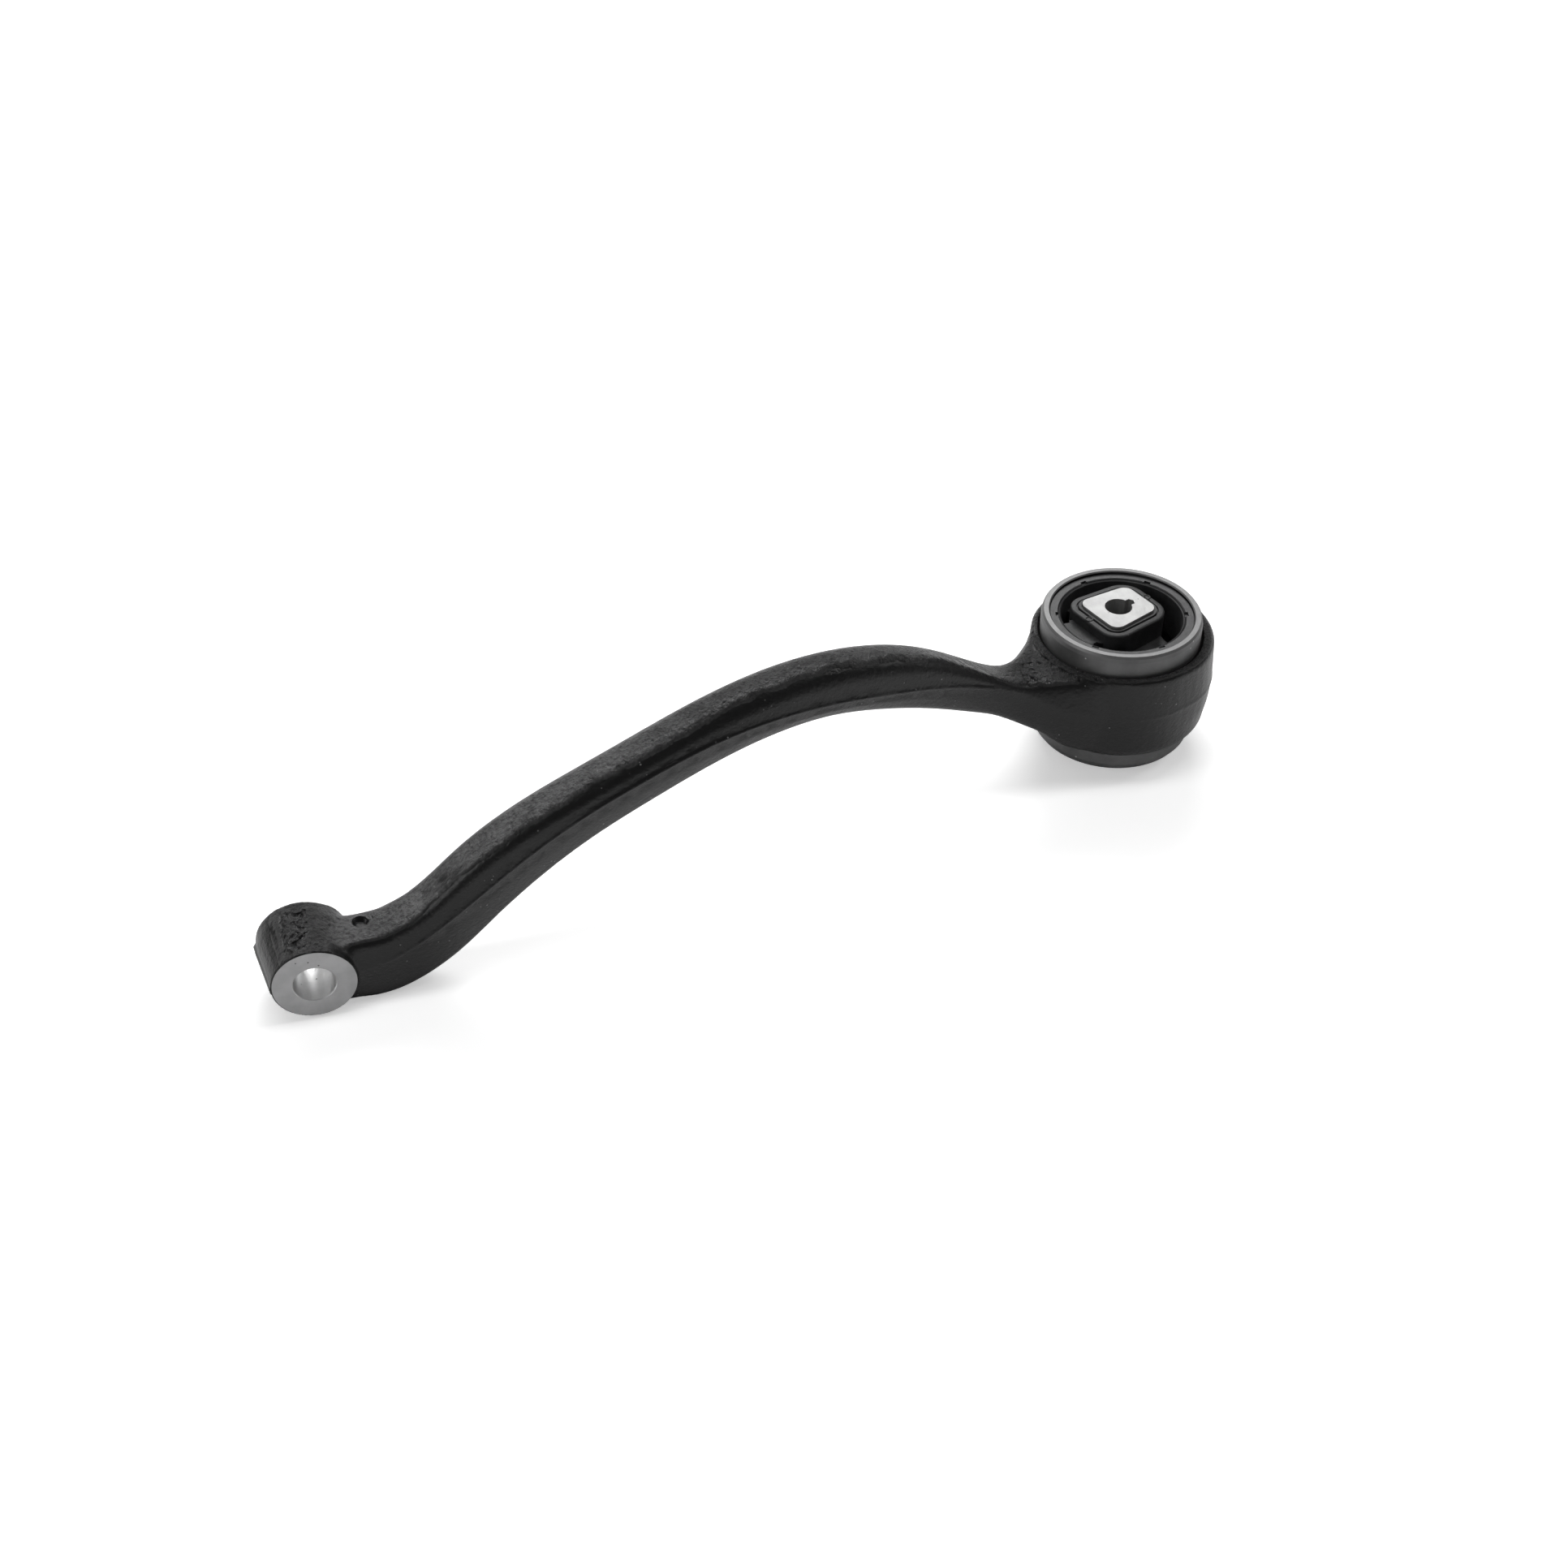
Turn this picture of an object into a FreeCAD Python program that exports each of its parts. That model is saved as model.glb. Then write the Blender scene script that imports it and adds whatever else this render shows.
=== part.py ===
import FreeCAD, Part
import Sketcher
import math
import os

# Front suspension control arm: a forged steel arm, arched in the X-Z plane, with a pressed-in
# hydraulic bush at one end and a tapered ball-stud eye at the other.
# Millimetres. Origin: middle of the bolt bore in the bush core. +Z: bush axis, up. -Y: the way the
# eye's machined face looks. The arm runs towards -X.

DOC = FreeCAD.newDocument("control_arm")

# ---------------------------------------------------------------- driving dimensions
SIZES = [
    # where things stand
    ("arm_heading", 19.3), ("core_offset", 3.0), ("eye_x", -411.0), ("eye_z", -19.5),
    ("eye_front_y", -104.6), ("eye_length", 32.0),
    # forging
    ("eye_front_radius", 18.9), ("eye_back_radius", 20.9), ("eye_bore_front", 9.45),
    ("eye_bore_back", 7.85), ("eye_lean_side", 2.5), ("eye_lean_up", 0.9),
    ("housing_radius", 46.2),
    ("housing_top_radius", 44.9), ("housing_bottom_radius", 45.0), ("housing_half_height", 24.0),
    ("housing_bore", 40.0), ("housing_lead_in", 1.5), ("housing_parting", 2.0),
    ("housing_top_round", 3.0), ("housing_bottom_round", 6.0), ("housing_shift", 1.0),
    ("flash_half_height", 0.9), ("flash_width", 0.45), ("housing_flash", 0.3),
    ("upper_draft", 0.6), ("lower_band_inset", 0.5),
    ("belly_round", 3.0), ("punch_radius", 3.2), ("punch_depth", 1.4), ("eye_flash", 0.6),
    ("eye_flash_back", 1.3),
    ("eye_flash_half_height", 1.4), ("punch_x", -384.5), ("punch_back", 20.5), ("punch_z", -4.8),
    ("saddle_x", -49.0), ("saddle_y", -13.0), ("saddle_z", 22.5), ("saddle_long", 7.0),
    ("saddle_wide", 3.2), ("saddle_deep", 2.2),
    # bush
    ("sleeve_outer", 40.0), ("sleeve_wall", 2.2), ("sleeve_half_length", 35.0), ("sleeve_lip_in", 35.8),
    ("sleeve_rim_top", 38.7), ("sleeve_rim_bottom", 37.7), ("sleeve_roll", 3.2), ("sleeve_roll_bottom", 4.5),
    ("ring_inner", 31.4), ("ring_top", 33.4), ("ring_thick", 3.6), ("ring_outer", 37.6),
    ("ring_notch_depth", 1.6), ("ring_notch_width", 3.4), ("ring_notch_start", -34.0),
    ("column_inner", 32.0), ("column_outer", 34.6),
    ("column_angle", 50.0),
    ("shell_inner", 32.2), ("shell_outer", 37.6), ("shell_angle", 124.0), ("shell_half_height", 29.2),
    ("track_floor", 35.0), ("track_height", 5.0), ("track_pitch", 15.0), ("port_radius", 3.2),
    ("core_half_length", 39.0), ("core_near", 13.9), ("core_far", 15.3), ("core_near_half", 14.5),
    ("core_far_half", 11.6), ("core_corner", 5.0), ("core_bore", 6.75), ("key_width", 4.6),
    ("key_depth", 3.0),
    ("stop_half_height", 11.0), ("stop_reach", 22.0), ("stop_half_width", 17.0), ("stop_round", 4.0),
    ("collar_width", 5.6), ("collar_half_length", 37.4), ("collar_round", 8.0),
    ("skirt_top", 32.9), ("skirt_floor", 20.0), ("skirt_radius", 31.4), ("skirt_wall", 2.2),
    ("leg_half_width", 12.0), ("leg_half_height", 26.0), ("leg_reach", 32.0),
    # plan line of the arm: how far each end runs straight before it bends
    ("plan_lead_eye", 130.0), ("plan_lead_bush", 150.0),
]

# Sections of the arm, from the eye to the bush. Each row: distance along -X, height of the middle,
# depth above and below it, parting line above it, half width, half width of the flat crown,
# depth of the crown's round, half width of the flat belly.
SECTION_KEYS = ["along", "height", "above", "below", "parting", "half", "flat", "crown", "belly"]
SECTIONS = [
    (-409, -20.0, 15.0, 17.2, 1.0, 12.0, 7.0, 5.0, 8.5),
    (-397, -20.8, 15.9, 18.2, 1.2, 12.5, 7.0, 5.0, 8.5),
    (-385, -20.9, 16.1, 18.3, 2.6, 12.5, 7.0, 5.2, 8.5),
    (-373, -19.2, 15.8, 17.6, 3.8, 12.5, 7.0, 5.4, 8.2),
    (-363, -15.2, 15.6, 16.7, 4.6, 12.5, 7.0, 5.4, 7.8),
    (-353, -9.1, 15.0, 16.5, 4.5, 12.5, 7.0, 5.4, 7.0),
    (-342, -0.8, 15.2, 16.1, 3.9, 12.5, 6.8, 5.5, 6.4),
    (-326, 11.3, 15.9, 15.6, 3.3, 12.5, 6.0, 6.0, 6.0),
    (-306, 24.0, 15.5, 15.0, 3.5, 12.5, 4.5, 7.0, 5.8),
    (-281, 35.9, 14.5, 14.1, 4.0, 12.5, 2.5, 8.0, 5.6),
    (-254, 46.2, 14.0, 13.9, 3.4, 12.5, 1.4, 9.0, 5.6),
    (-226, 55.5, 13.8, 14.3, 1.5, 12.5, 1.2, 10.5, 5.6),
    (-196, 61.2, 13.9, 14.5, -1.5, 12.5, 1.2, 11.5, 5.6),
    (-167, 60.9, 14.2, 14.2, -3.4, 12.5, 1.2, 12.0, 5.8),
    (-141, 55.2, 14.2, 14.3, -3.0, 12.3, 1.4, 11.0, 6.0),
    (-117, 46.0, 12.7, 13.8, -0.4, 11.8, 2.0, 8.8, 6.2),
    (-97, 35.2, 10.4, 12.6, 2.5, 11.2, 3.5, 6.0, 6.0),
    (-82, 25.8, 9.0, 11.4, 4.2, 10.9, 5.0, 3.8, 5.8),
    (-71, 18.6, 9.3, 10.6, 4.8, 11.4, 6.0, 3.6, 6.0),
    (-61, 12.4, 12.0, 11.4, 4.5, 13.4, 7.5, 4.2, 7.5),
    (-51, 7.2, 16.6, 13.2, 3.6, 17.8, 12.0, 4.4, 11.0),
    (-42, 3.4, 20.2, 16.8, 3.0, 23.4, 18.0, 4.4, 16.0),
    (-33, 0.8, 22.4, 20.8, 2.6, 29.0, 24.0, 4.4, 22.0),
    (-24, 0.0, 23.4, 23.2, 2.4, 32.5, 28.0, 4.4, 26.0),
]
LOWER_BAND = 6.0      # height of the narrow band under the parting line
BEZIER = 0.5523       # handle length that makes a cubic curve a quarter ellipse


def make_sheet():
    sheet = DOC.addObject("Spreadsheet::Sheet", "Sizes")
    row = 1
    for alias, value in SIZES:
        put(sheet, row, alias, value)
        row += 1
    for number, section in enumerate(SECTIONS, start=1):
        for key, value in zip(SECTION_KEYS, section):
            put(sheet, row, section_alias(number, key), value)
            row += 1
    DOC.recompute()
    return sheet


def put(sheet, row, alias, value):
    sheet.set("A%d" % row, alias)
    sheet.set("B%d" % row, str(value))
    sheet.setAlias("B%d" % row, alias)


def section_alias(number, key):
    return "station_%02d_%s" % (number, key)


SHEET = make_sheet()


def size(alias):
    return float(getattr(SHEET, alias))


# ---------------------------------------------------------------- small helpers
def bush_turn():
    """The bush frame: local X points away from the arm, origin on the sleeve's axis."""
    return FreeCAD.Rotation(FreeCAD.Vector(0, 0, 1), size("arm_heading"))


def bush_place():
    turn = bush_turn()
    return FreeCAD.Placement(turn.multVec(FreeCAD.Vector(size("core_offset"), 0, 0)), turn)


def core_place():
    return FreeCAD.Placement(FreeCAD.Vector(0, 0, 0), bush_turn())


def origin_plane(body, role):
    for feature in body.Origin.OriginFeatures:
        if feature.Role == role:
            return feature
    raise ValueError(role)


def new_sketch(body, name, role):
    sketch = body.newObject("Sketcher::SketchObject", name)
    sketch.AttachmentSupport = (origin_plane(body, role), [""])
    sketch.MapMode = "FlatFace"
    return sketch


def polygon(sketch, corners):
    """A closed outline. Each corner is a pair of expressions, which hold its two distances."""
    values = [(evaluate(sketch, a), evaluate(sketch, b)) for a, b in corners]
    count = len(values)
    for index in range(count):
        start = FreeCAD.Vector(values[index][0], values[index][1], 0)
        end = FreeCAD.Vector(values[(index + 1) % count][0], values[(index + 1) % count][1], 0)
        sketch.addGeometry(Part.LineSegment(start, end))
    for index in range(count):
        sketch.addConstraint(Sketcher.Constraint("Coincident", index, 2, (index + 1) % count, 1))
    for index, corner in enumerate(corners):
        for axis, text, value in (("DistanceX", corner[0], values[index][0]),
                                  ("DistanceY", corner[1], values[index][1])):
            number = sketch.addConstraint(Sketcher.Constraint(axis, -1, 1, index, 1, value))
            sketch.setExpression("Constraints[%d]" % number, text)


def evaluate(thing, text):
    return float(thing.evalExpression(text))


def turned(label, corners):
    """A turned body: the outline's first distance is a radius, its second a height."""
    body = DOC.addObject("PartDesign::Body", label)
    sketch = new_sketch(body, label + "_profile", "XZ_Plane")
    polygon(sketch, corners)
    spin = body.newObject("PartDesign::Revolution", label + "_turning")
    spin.Profile = sketch
    spin.ReferenceAxis = (sketch, ["V_Axis"])
    spin.Angle = 360
    sketch.Visibility = False
    DOC.recompute()
    return body


def round_rims(body, picks):
    """Rounds circular edges. Each pick is a radius, a height and the alias of the round's size."""
    for number, (radius, height, rounding) in enumerate(picks, start=1):
        tip = body.Tip
        names = []
        for index, edge in enumerate(tip.Shape.Edges, start=1):
            if not isinstance(edge.Curve, Part.Circle):
                continue
            if abs(edge.Curve.Radius - radius) < 0.01 and abs(edge.Curve.Center.z - height) < 0.01:
                names.append("Edge%d" % index)
        fillet = body.newObject("PartDesign::Fillet", "%s_round_%d" % (body.Label, number))
        fillet.Base = (tip, names)
        fillet.setExpression("Radius", "Sizes." + rounding)
        DOC.recompute()
    return body


def cylinder(name, radius, height, place):
    solid = DOC.addObject("Part::Cylinder", name)
    solid.setExpression("Radius", radius)
    solid.setExpression("Height", height)
    solid.Placement = place
    return solid


def cone(name, first, second, height, place):
    solid = DOC.addObject("Part::Cone", name)
    solid.setExpression("Radius1", first)
    solid.setExpression("Radius2", second)
    solid.setExpression("Height", height)
    solid.Placement = place
    return solid


def box(name, sides, place):
    solid = DOC.addObject("Part::Box", name)
    for side, text in zip(("Length", "Width", "Height"), sides):
        solid.setExpression(side, text)
    solid.Placement = place
    return solid


def fuse(name, solids):
    joined = DOC.addObject("Part::MultiFuse", name)
    joined.Shapes = solids
    return joined


def cut(name, base, tool):
    result = DOC.addObject("Part::Cut", name)
    result.Base = base
    result.Tool = tool
    return result


def shaped(name, shape, place=None):
    feature = DOC.addObject("Part::Feature", name)
    feature.Shape = shape
    if place is not None:
        feature.Placement = place
    return feature


def lifted(height):
    return FreeCAD.Placement(FreeCAD.Vector(0, 0, height), FreeCAD.Rotation())


def keep(part):
    PARTS.append(part)
    return part


# ---------------------------------------------------------------- arm forging
def plan_point(along):
    """Where the arm's middle line runs in plan: its Y and its heading in radians."""
    heading = math.radians(size("arm_heading"))
    offset = size("core_offset")
    lead = size("plan_lead_bush")
    bush = FreeCAD.Vector(offset * math.cos(heading), offset * math.sin(heading), 0)
    eye = FreeCAD.Vector(size("eye_x"), size("eye_front_y") + size("eye_length") / 2, 0)
    curve = Part.BezierCurve()
    curve.setPoles([eye, eye + FreeCAD.Vector(size("plan_lead_eye"), 0, 0),
                    bush - FreeCAD.Vector(lead * math.cos(heading), lead * math.sin(heading), 0), bush])
    low = 0.0
    high = 1.0
    for _ in range(40):
        middle = (low + high) / 2
        if curve.value(middle).x < along:
            low = middle
        else:
            high = middle
    tangent = curve.tangent(low)[0]
    return curve.value(low).y, math.atan2(tangent.y, tangent.x)


def corner_curve(start, control, end):
    """A quarter ellipse from start to end, whose tangents meet at control."""
    curve = Part.BezierCurve()
    curve.setPoles([start, start + (control - start) * BEZIER, end + (control - end) * BEZIER, end])
    return curve.toShape()


def section_outline(values):
    """The near half of a cross-section, from the crown's middle down, as (kind, points) pieces."""
    top = values["above"]
    bottom = -values["below"]
    line = values["parting"]
    half = values["half"]
    flat = values["flat"]
    belly = values["belly"]
    flash = min(size("flash_half_height"), (top - line) / 5)
    lip = half + size("flash_width")
    shoulder = half - min(size("upper_draft"), (top - line) / 12)
    crown_end = max(top - values["crown"], line + flash + 0.4)
    band_end = line - min(LOWER_BAND, (line - bottom) * 0.4)
    band_half = half - size("lower_band_inset")
    belly_start = bottom + size("belly_round")
    lean = (belly + size("belly_round") * 0.8 - band_half) / (bottom - band_end)
    belly_half = band_half + lean * (belly_start - band_end)
    foot = band_half + lean * (bottom - band_end)
    return [
        ("line", (-flat, top), (flat, top)),
        ("curve", (flat, top), (shoulder, top), (shoulder, crown_end)),
        ("line", (shoulder, crown_end), (half, line + flash)),
        ("line", (half, line + flash), (lip, line + flash / 3)),
        ("line", (lip, line + flash / 3), (lip, line - flash / 3)),
        ("line", (lip, line - flash / 3), (half, line - flash)),
        ("line", (half, line - flash), (band_half, band_end)),
        ("line", (band_half, band_end), (belly_half, belly_start)),
        ("curve", (belly_half, belly_start), (foot, bottom), (belly, bottom)),
        ("line", (belly, bottom), (-belly, bottom)),
    ]


def section_wire(values, slope):
    """One cross-section of the arm, square to its middle line."""
    y, heading = plan_point(values["along"])
    centre = FreeCAD.Vector(values["along"], y, values["height"])
    side = FreeCAD.Vector(math.sin(heading), -math.cos(heading), 0)
    upward = FreeCAD.Vector(-math.cos(heading) * math.sin(slope), -math.sin(heading) * math.sin(slope),
                            math.cos(slope))
    near = section_outline(values)
    far = [(piece[0],) + tuple((-u, v) for u, v in reversed(piece[1:])) for piece in reversed(near[1:-1])]
    edges = []
    for piece in near + far:
        points = [centre + side * u + upward * v for u, v in piece[1:]]
        if piece[0] == "line":
            edges.append(Part.makeLine(points[0], points[1]))
        else:
            edges.append(corner_curve(points[0], points[1], points[2]))
    return Part.Wire(edges)


def make_arm_blank():
    rows = []
    for number in range(1, len(SECTIONS) + 1):
        rows.append({key: size(section_alias(number, key)) for key in SECTION_KEYS})
    wires = []
    for index, values in enumerate(rows):
        before = rows[max(index - 1, 0)]
        after = rows[min(index + 1, len(rows) - 1)]
        slope = math.atan2(after["height"] - before["height"], after["along"] - before["along"])
        if index in (0, len(rows) - 1):
            slope = 0.0
        wires.append(section_wire(values, slope))
    return shaped("arm_blank", Part.makeLoft(wires, True, False))


def make_housing():
    top = "Sizes.housing_half_height"
    line = "Sizes.housing_parting"
    lip = "Sizes.housing_radius + Sizes.housing_flash"
    body = turned("housing_blank", [
        ("Sizes.housing_bore - 6", top),
        ("Sizes.housing_top_radius", top),
        ("Sizes.housing_radius", line + " + Sizes.flash_half_height"),
        (lip, line + " + Sizes.flash_half_height / 3"),
        (lip, line + " - Sizes.flash_half_height / 3"),
        ("Sizes.housing_radius", line + " - Sizes.flash_half_height"),
        ("Sizes.housing_bottom_radius", "-" + top),
        ("Sizes.housing_bore - 6", "-" + top),
    ])
    half = size("housing_half_height")
    round_rims(body, [(size("housing_top_radius"), half, "housing_top_round"),
                      (size("housing_bottom_radius"), -half, "housing_bottom_round")])
    body.Placement = bush_place().multiply(
        FreeCAD.Placement(FreeCAD.Vector(size("housing_shift"), 0, 0), FreeCAD.Rotation()))
    return body


def eye_place():
    """The eye's own frame: local +Z runs from its front face to its back face."""
    return FreeCAD.Placement(FreeCAD.Vector(size("eye_x"), size("eye_front_y"), size("eye_z")),
                             FreeCAD.Rotation(FreeCAD.Vector(1, 0, 0), -90))


def make_eye():
    """The forged eye: it widens towards the back and leans a little towards its free side."""
    body = turned("eye_blank", [
        ("0", "-3"),
        ("Sizes.eye_front_radius - 0.2", "-3"),
        ("Sizes.eye_back_radius", "Sizes.eye_length * 0.8"),
        ("Sizes.eye_back_radius - 0.3", "Sizes.eye_length + 3"),
        ("0", "Sizes.eye_length + 3"),
    ])
    lean = FreeCAD.Rotation(FreeCAD.Vector(0, 0, 1), FreeCAD.Vector(
        -size("eye_lean_side"), -size("eye_lean_up"), size("eye_length")))
    body.Placement = eye_place().multiply(FreeCAD.Placement(FreeCAD.Vector(), lean))
    return body


def make_eye_flash():
    """The trimmed flash land down the free side of the eye."""
    front = size("eye_front_radius") + size("eye_flash")
    length = size("eye_length")
    back = size("eye_back_radius") + size("eye_flash_back") + size("eye_lean_side")
    half = size("eye_flash_half_height")
    corners = [(-5, 0), (-front, 0), (-back, length * 0.97), (-back + 1.5, length), (-5, length)]
    points = [FreeCAD.Vector(size("eye_x") + x, size("eye_front_y") + y, size("eye_z") - half)
              for x, y in corners]
    face = Part.Face(Part.makePolygon(points + [points[0]]))
    return shaped("eye_flash_land", face.extrude(FreeCAD.Vector(0, 0, 2 * half)))


def make_arm_forging():
    outside = fuse("forging_outside", [make_arm_blank(), make_housing(), make_eye(), make_eye_flash()])
    bush = bush_place()
    bore = cylinder("housing_bore_tool", "Sizes.housing_bore", "60", bush.multiply(lifted(-30)))
    lead_depth = "Sizes.housing_lead_in * 1.2"
    lead_in = cone("housing_lead_tool", "Sizes.housing_bore", "Sizes.housing_bore + " + lead_depth,
                   lead_depth, bush.multiply(lifted(size("housing_half_height") - size("housing_lead_in"))))
    spread = "(Sizes.eye_bore_front - Sizes.eye_bore_back) / Sizes.eye_length"
    taper = cone("eye_taper_tool", "Sizes.eye_bore_front + " + spread, "Sizes.eye_bore_back - " + spread,
                 "Sizes.eye_length + 2", eye_place().multiply(lifted(-1)))
    face = box("eye_face_tool", ["80", "20", "80"], FreeCAD.Placement(
        FreeCAD.Vector(size("eye_x") - 40, size("eye_front_y") - 20, size("eye_z") - 40),
        FreeCAD.Rotation()))
    nut_seat = box("eye_nut_seat_tool", ["64", "20", "80"], FreeCAD.Placement(
        FreeCAD.Vector(size("eye_x") - 40, size("eye_front_y") + size("eye_length"),
                       size("eye_z") - 40), FreeCAD.Rotation()))
    punch_at = FreeCAD.Vector(size("punch_x"), size("eye_front_y") + size("punch_back"),
                              size("punch_z") - size("punch_depth"))
    punch = cone("punch_tool", "Sizes.punch_radius * 0.5", "Sizes.punch_radius + 1",
                 "Sizes.punch_depth + 1", FreeCAD.Placement(punch_at, FreeCAD.Rotation()))
    saddle = DOC.addObject("Part::Ellipsoid", "saddle_tool")
    saddle.setExpression("Radius1", "Sizes.saddle_deep")
    saddle.setExpression("Radius2", "Sizes.saddle_long")
    saddle.setExpression("Radius3", "Sizes.saddle_wide")
    saddle.Placement = FreeCAD.Placement(
        FreeCAD.Vector(size("saddle_x"), size("saddle_y"), size("saddle_z")), bush_turn())
    tools = fuse("forging_tools", [bore, lead_in, taper, face, nut_seat, punch, saddle])
    return keep(cut("arm_forging", outside, tools))


# ---------------------------------------------------------------- bush: sleeve, cage, shells
def make_outer_sleeve():
    """A steel tube whose ends are rolled in over the cage."""
    top = "Sizes.sleeve_half_length"
    inner = "Sizes.sleeve_outer - Sizes.sleeve_wall"
    body = turned("outer_sleeve", [
        ("Sizes.sleeve_outer", top + " - Sizes.sleeve_roll"),
        ("Sizes.sleeve_outer - 0.45", top + " - 1.2"),
        ("Sizes.sleeve_rim_top", top),
        ("Sizes.sleeve_lip_in + 0.5", top),
        ("Sizes.sleeve_lip_in", top + " - 0.6"),
        (inner, top + " - Sizes.sleeve_wall"),
        (inner, "-(" + top + " - Sizes.sleeve_wall)"),
        ("Sizes.sleeve_lip_in", "-(" + top + " - 0.6)"),
        ("Sizes.sleeve_lip_in + 0.5", "-" + top),
        ("Sizes.sleeve_rim_bottom - 0.6", "-" + top),
        ("Sizes.sleeve_rim_bottom", "-(" + top + " - 0.5)"),
        ("Sizes.sleeve_outer - 0.5", "-(" + top + " - 3)"),
        ("Sizes.sleeve_outer", "-(" + top + " - Sizes.sleeve_roll_bottom)"),
    ])
    body.Placement = bush_place()
    return keep(body)


def sector(name, inner, outer, half_height, middle, opening):
    """An upright ring segment, whose middle direction and opening are in degrees."""
    ring = cylinder(name + "_outer", outer, half_height + " * 2", FreeCAD.Placement())
    ring.setExpression("Angle", opening)
    half = float(ring.evalExpression(half_height))
    opened = float(ring.evalExpression(opening))
    turn = FreeCAD.Rotation(FreeCAD.Vector(0, 0, 1), middle - opened / 2)
    ring.Placement = FreeCAD.Placement(FreeCAD.Vector(0, 0, -half), turn)
    hole = cylinder(name + "_inner", inner, half_height + " * 2 + 2", lifted(-half - 1))
    return cut(name, ring, hole)


def make_cage_ring(name, up):
    """One end ring of the cage, with its six small mould notches."""
    sign = "" if up > 0 else "-"
    lip = "Sizes.sleeve_lip_in - 0.35"
    ring = turned(name, [
        ("Sizes.ring_inner", sign + "(Sizes.ring_top - 0.5)"),
        ("Sizes.ring_inner + 0.5", sign + "Sizes.ring_top"),
        (lip, sign + "Sizes.ring_top"),
        (lip, sign + "(Sizes.ring_top - 0.9)"),
        ("Sizes.ring_outer", sign + "(Sizes.ring_top - 1.4)"),
        ("Sizes.ring_outer", sign + "(Sizes.ring_top - Sizes.ring_thick)"),
        ("Sizes.ring_inner", sign + "(Sizes.ring_top - Sizes.ring_thick)"),
    ])
    low = size("ring_top") - 1.1 if up > 0 else -size("ring_top") - 0.5
    start = FreeCAD.Vector(size("ring_inner") - 3, -size("ring_notch_width") / 2, low)
    notches = []
    for number in range(6):
        turn = FreeCAD.Rotation(FreeCAD.Vector(0, 0, 1), size("ring_notch_start") + 60 * number)
        notches.append(box("%s_notch_%d" % (name, number + 1),
                           ["Sizes.ring_notch_depth + 3", "Sizes.ring_notch_width", "1.6"],
                           FreeCAD.Placement(turn.multVec(start), turn)))
    return cut(name + "_notched", ring, fuse(name + "_notches", notches))


def make_window_cage():
    """Two end rings joined by two columns; the rubber's legs are bonded to the columns."""
    pieces = [make_cage_ring("cage_ring_top", 1), make_cage_ring("cage_ring_bottom", -1)]
    for name, middle in (("cage_column_near", -90), ("cage_column_far", 90)):
        pieces.append(sector(name, "Sizes.column_inner", "Sizes.column_outer",
                             "(Sizes.ring_top - Sizes.ring_thick + 0.2)", middle, "Sizes.column_angle"))
    cage = fuse("window_cage", pieces)
    cage.Placement = bush_place()
    return keep(cage)


def make_channel_shell(label, middle):
    """Half of the fluid channel: a ring segment with the damping channel cut in its outside."""
    blank = sector(label + "_blank", "Sizes.shell_inner", "Sizes.shell_outer", "Sizes.shell_half_height",
                   middle, "Sizes.shell_angle")
    tools = []
    for number in range(3):
        low = lifted((number - 1) * size("track_pitch") - size("track_height") / 2)
        outer = cylinder("%s_track_%d" % (label, number + 1), "Sizes.shell_outer + 1",
                         "Sizes.track_height", low)
        inner = cylinder("%s_floor_%d" % (label, number + 1), "Sizes.track_floor",
                         "Sizes.track_height", low)
        tools.append(cut("%s_groove_%d" % (label, number + 1), outer, inner))
    turn = FreeCAD.Rotation(FreeCAD.Vector(0, 0, 1), middle)
    lying = FreeCAD.Rotation(FreeCAD.Vector(0, 1, 0), 90)
    tools.append(cylinder(label + "_port", "Sizes.port_radius", "12", FreeCAD.Placement(
        turn.multVec(FreeCAD.Vector(30, 0, 0)), turn.multiply(lying))))
    shell = cut(label, blank, fuse(label + "_tools", tools))
    shell.Placement = bush_place()
    return keep(shell)


# ---------------------------------------------------------------- bush: core, stop, rubber
def trapezoid(near, far, near_half, far_half, rounding):
    """A rounded four-sided outline, its near side towards the arm, in the core's own frame."""
    corners = [FreeCAD.Vector(-near, -near_half, 0), FreeCAD.Vector(far, -far_half, 0),
               FreeCAD.Vector(far, far_half, 0), FreeCAD.Vector(-near, near_half, 0)]
    arcs = []
    for index, corner in enumerate(corners):
        back = (corners[index - 1] - corner).normalize()
        on = (corners[(index + 1) % 4] - corner).normalize()
        half_angle = back.getAngle(on) / 2
        setback = rounding / math.tan(half_angle)
        middle = corner + (back + on).normalize() * (rounding / math.sin(half_angle) - rounding)
        arcs.append((corner + back * setback, middle, corner + on * setback))
    edges = []
    for index, (start, middle, end) in enumerate(arcs):
        edges.append(Part.makeLine(arcs[index - 1][2], start))
        edges.append(Part.Arc(start, middle, end).toShape())
    return Part.Wire(edges)


def prism(wire, low, high):
    solid = Part.Face(wire).extrude(FreeCAD.Vector(0, 0, high - low))
    solid.translate(FreeCAD.Vector(0, 0, low))
    return solid


def core_outline(grow=0.0):
    return trapezoid(size("core_near") + grow, size("core_far") + grow, size("core_near_half") + grow,
                     size("core_far_half") + grow, size("core_corner") + grow)


def stop_outline():
    reach = size("stop_reach")
    half = size("stop_half_width")
    return trapezoid(reach, reach, half, half, size("stop_round"))


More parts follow.
